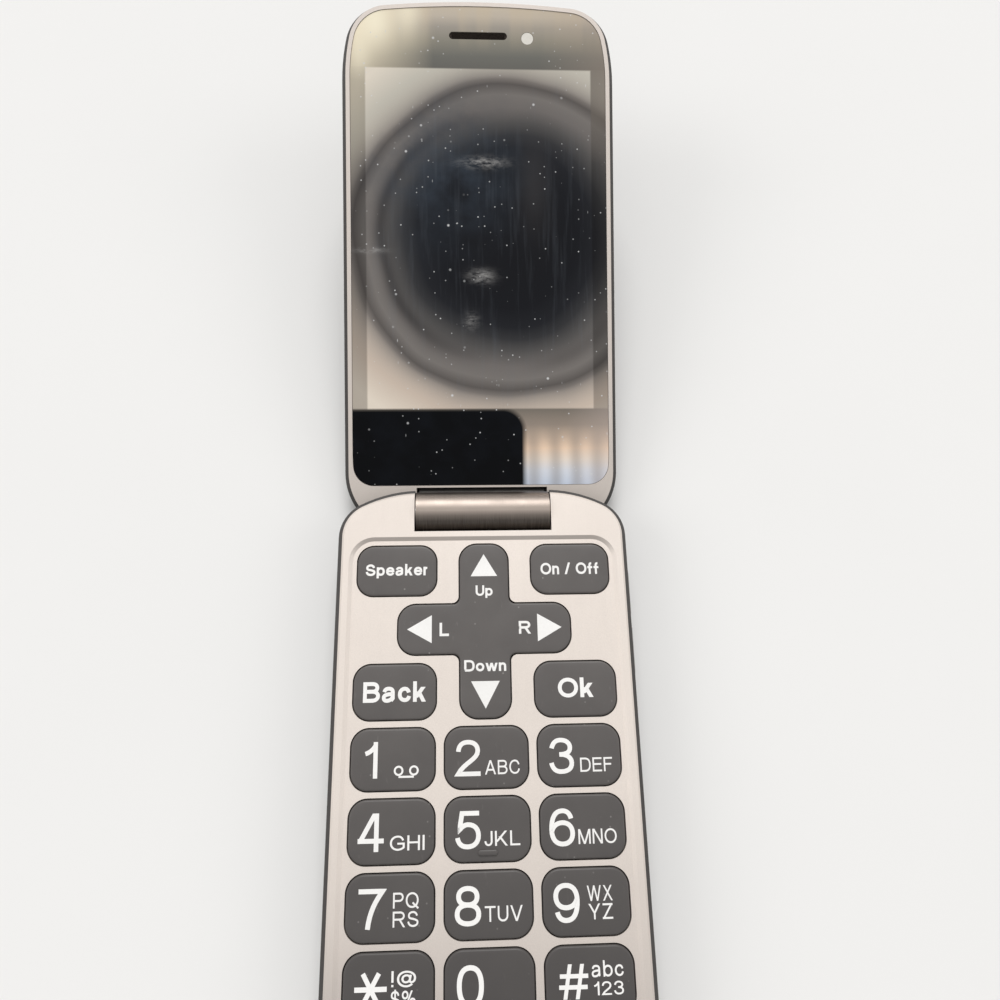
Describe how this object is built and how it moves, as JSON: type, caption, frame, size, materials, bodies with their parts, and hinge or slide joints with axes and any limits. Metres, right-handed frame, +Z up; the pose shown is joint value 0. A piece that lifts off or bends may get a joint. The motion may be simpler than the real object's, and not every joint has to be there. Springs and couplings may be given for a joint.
{
  "type": "flip phone",
  "caption": "Clamshell phone lying open: keypad base, barrel hinge and display lid, with keys, direction pad, rocker and inner works",
  "frame": {"origin": "centre of the base's underside, on the surface that the phone lies on", "axes": "+X to the right of the keys, +Y from the keypad towards the hinge and lid, +Z up"},
  "size_m": [0.0549, 0.2037, 0.0329],
  "materials": {
    "deck_silver": "satin",
    "dark_shell": "satin",
    "key_plastic": "satin",
    "barrel_metal": "brushed",
    "window_glass": "polished",
    "display_panel": "gloss",
    "lens_glass": "polished",
    "mesh_metal": "satin",
    "inner_steel": "satin",
    "board_green": "satin",
    "flex_amber": "satin",
    "mat_rubber": "matte",
    "battery_wrap": "satin",
    "chassis_alloy": "satin",
    "port_metal": "satin",
    "black_plastic": "satin",
    "rocker_grey": "satin",
    "bush_brass": "satin",
    "ring_metal": "satin"
  },
  "bodies": {
    "base": {"base_front_case": "deck_silver", "base_rear_case": "dark_shell", "battery_cover": "dark_shell", "battery": "battery_wrap", "main_board": "board_green", "metal_domes": "port_metal", "keypad_mat": "mat_rubber", "loudspeaker": "black_plastic", "vibration_motor": "inner_steel", "shield_can": "port_metal", "sim_socket": "port_metal", "charging_port": "port_metal", "headset_jack": "black_plastic", "microphone": "inner_steel", "volume_switch": "black_plastic", "case_screws": "inner_steel", "hinge_shaft": "inner_steel", "hinge_bush": "bush_brass", "base_flex_cable": "flex_amber"},
    "lid": {"hinge_cam": "inner_steel", "hinge_cartridge": "inner_steel", "hinge_spring": "inner_steel", "hinge_barrel": "barrel_metal", "lid_chassis": "chassis_alloy", "lid_flex_cable": "flex_amber", "lid_inner_frame": "deck_silver", "display_window": "window_glass", "sensor_lens": "lens_glass", "earpiece_mesh": "mesh_metal", "earpiece": "black_plastic", "main_display": "display_panel", "lid_board": "board_green", "outer_display": "display_panel", "camera_module": "black_plastic", "lid_magnet": "inner_steel", "lid_outer_cover": "dark_shell", "outer_window": "window_glass", "camera_ring": "ring_metal", "camera_lens": "lens_glass"},
    "speaker_key": {"speaker_key": "key_plastic"},
    "power_key": {"power_key": "key_plastic"},
    "back_key": {"back_key": "key_plastic"},
    "ok_key": {"ok_key": "key_plastic"},
    "key_1": {"key_1": "key_plastic"},
    "key_2": {"key_2": "key_plastic"},
    "key_3": {"key_3": "key_plastic"},
    "key_4": {"key_4": "key_plastic"},
    "key_5": {"key_5": "key_plastic"},
    "key_6": {"key_6": "key_plastic"},
    "key_7": {"key_7": "key_plastic"},
    "key_8": {"key_8": "key_plastic"},
    "key_9": {"key_9": "key_plastic"},
    "key_star": {"key_star": "key_plastic"},
    "key_0": {"key_0": "key_plastic"},
    "key_hash": {"key_hash": "key_plastic"},
    "assist_key": {"assist_key": "key_plastic"},
    "dpad_pivot": {"dpad_pivot": "mat_rubber"},
    "dpad_key": {"dpad_key": "key_plastic"},
    "volume_rocker": {"volume_rocker": "rocker_grey"}
  },
  "joints": [
    {"name": "lid_hinge", "type": "hinge", "parent": "base", "child": "lid", "pos_m": [0, 0.0494, 0.00755], "axis": [1, 0, 0], "range_deg": [0, 163.66]},
    {"name": "speaker_key_press", "type": "slide", "parent": "base", "child": "speaker_key", "axis": [0, 0, -1], "range_m": [0, 0.0004], "stiffness_N_per_m": 400, "springref_m": -0.0003},
    {"name": "power_key_press", "type": "slide", "parent": "base", "child": "power_key", "axis": [0, 0, -1], "range_m": [0, 0.0004], "stiffness_N_per_m": 400, "springref_m": -0.0003},
    {"name": "back_key_press", "type": "slide", "parent": "base", "child": "back_key", "axis": [0, 0, -1], "range_m": [0, 0.0004], "stiffness_N_per_m": 400, "springref_m": -0.0003},
    {"name": "ok_key_press", "type": "slide", "parent": "base", "child": "ok_key", "axis": [0, 0, -1], "range_m": [0, 0.0004], "stiffness_N_per_m": 400, "springref_m": -0.0003},
    {"name": "key_1_press", "type": "slide", "parent": "base", "child": "key_1", "axis": [0, 0, -1], "range_m": [0, 0.0004], "stiffness_N_per_m": 400, "springref_m": -0.0003},
    {"name": "key_2_press", "type": "slide", "parent": "base", "child": "key_2", "axis": [0, 0, -1], "range_m": [0, 0.0004], "stiffness_N_per_m": 400, "springref_m": -0.0003},
    {"name": "key_3_press", "type": "slide", "parent": "base", "child": "key_3", "axis": [0, 0, -1], "range_m": [0, 0.0004], "stiffness_N_per_m": 400, "springref_m": -0.0003},
    {"name": "key_4_press", "type": "slide", "parent": "base", "child": "key_4", "axis": [0, 0, -1], "range_m": [0, 0.0004], "stiffness_N_per_m": 400, "springref_m": -0.0003},
    {"name": "key_5_press", "type": "slide", "parent": "base", "child": "key_5", "axis": [0, 0, -1], "range_m": [0, 0.0004], "stiffness_N_per_m": 400, "springref_m": -0.0003},
    {"name": "key_6_press", "type": "slide", "parent": "base", "child": "key_6", "axis": [0, 0, -1], "range_m": [0, 0.0004], "stiffness_N_per_m": 400, "springref_m": -0.0003},
    {"name": "key_7_press", "type": "slide", "parent": "base", "child": "key_7", "axis": [0, 0, -1], "range_m": [0, 0.0004], "stiffness_N_per_m": 400, "springref_m": -0.0003},
    {"name": "key_8_press", "type": "slide", "parent": "base", "child": "key_8", "axis": [0, 0, -1], "range_m": [0, 0.0004], "stiffness_N_per_m": 400, "springref_m": -0.0003},
    {"name": "key_9_press", "type": "slide", "parent": "base", "child": "key_9", "axis": [0, 0, -1], "range_m": [0, 0.0004], "stiffness_N_per_m": 400, "springref_m": -0.0003},
    {"name": "key_star_press", "type": "slide", "parent": "base", "child": "key_star", "axis": [0, 0, -1], "range_m": [0, 0.0004], "stiffness_N_per_m": 400, "springref_m": -0.0003},
    {"name": "key_0_press", "type": "slide", "parent": "base", "child": "key_0", "axis": [0, 0, -1], "range_m": [0, 0.0004], "stiffness_N_per_m": 400, "springref_m": -0.0003},
    {"name": "key_hash_press", "type": "slide", "parent": "base", "child": "key_hash", "axis": [0, 0, -1], "range_m": [0, 0.0004], "stiffness_N_per_m": 400, "springref_m": -0.0003},
    {"name": "assist_key_press", "type": "slide", "parent": "base", "child": "assist_key", "axis": [0, 0, -1], "range_m": [0, 0.0004], "stiffness_N_per_m": 400, "springref_m": -0.0003},
    {"name": "dpad_tilt_x", "type": "hinge", "parent": "base", "child": "dpad_pivot", "pos_m": [0, 0.02685, 0.008], "axis": [1, 0, 0], "range_deg": [-1.2, 1.2], "stiffness_Nm_per_rad": 0.3},
    {"name": "dpad_tilt_y", "type": "hinge", "parent": "dpad_pivot", "child": "dpad_key", "pos_m": [0, 0.02685, 0.008], "axis": [0, 1, 0], "range_deg": [-1.2, 1.2], "stiffness_Nm_per_rad": 0.3},
    {"name": "volume_tilt", "type": "hinge", "parent": "base", "child": "volume_rocker", "pos_m": [0.0251, 0.0282, 0.0062], "axis": [0, 0, 1], "range_deg": [-1.5, 1.5], "stiffness_Nm_per_rad": 0.2}
  ]
}
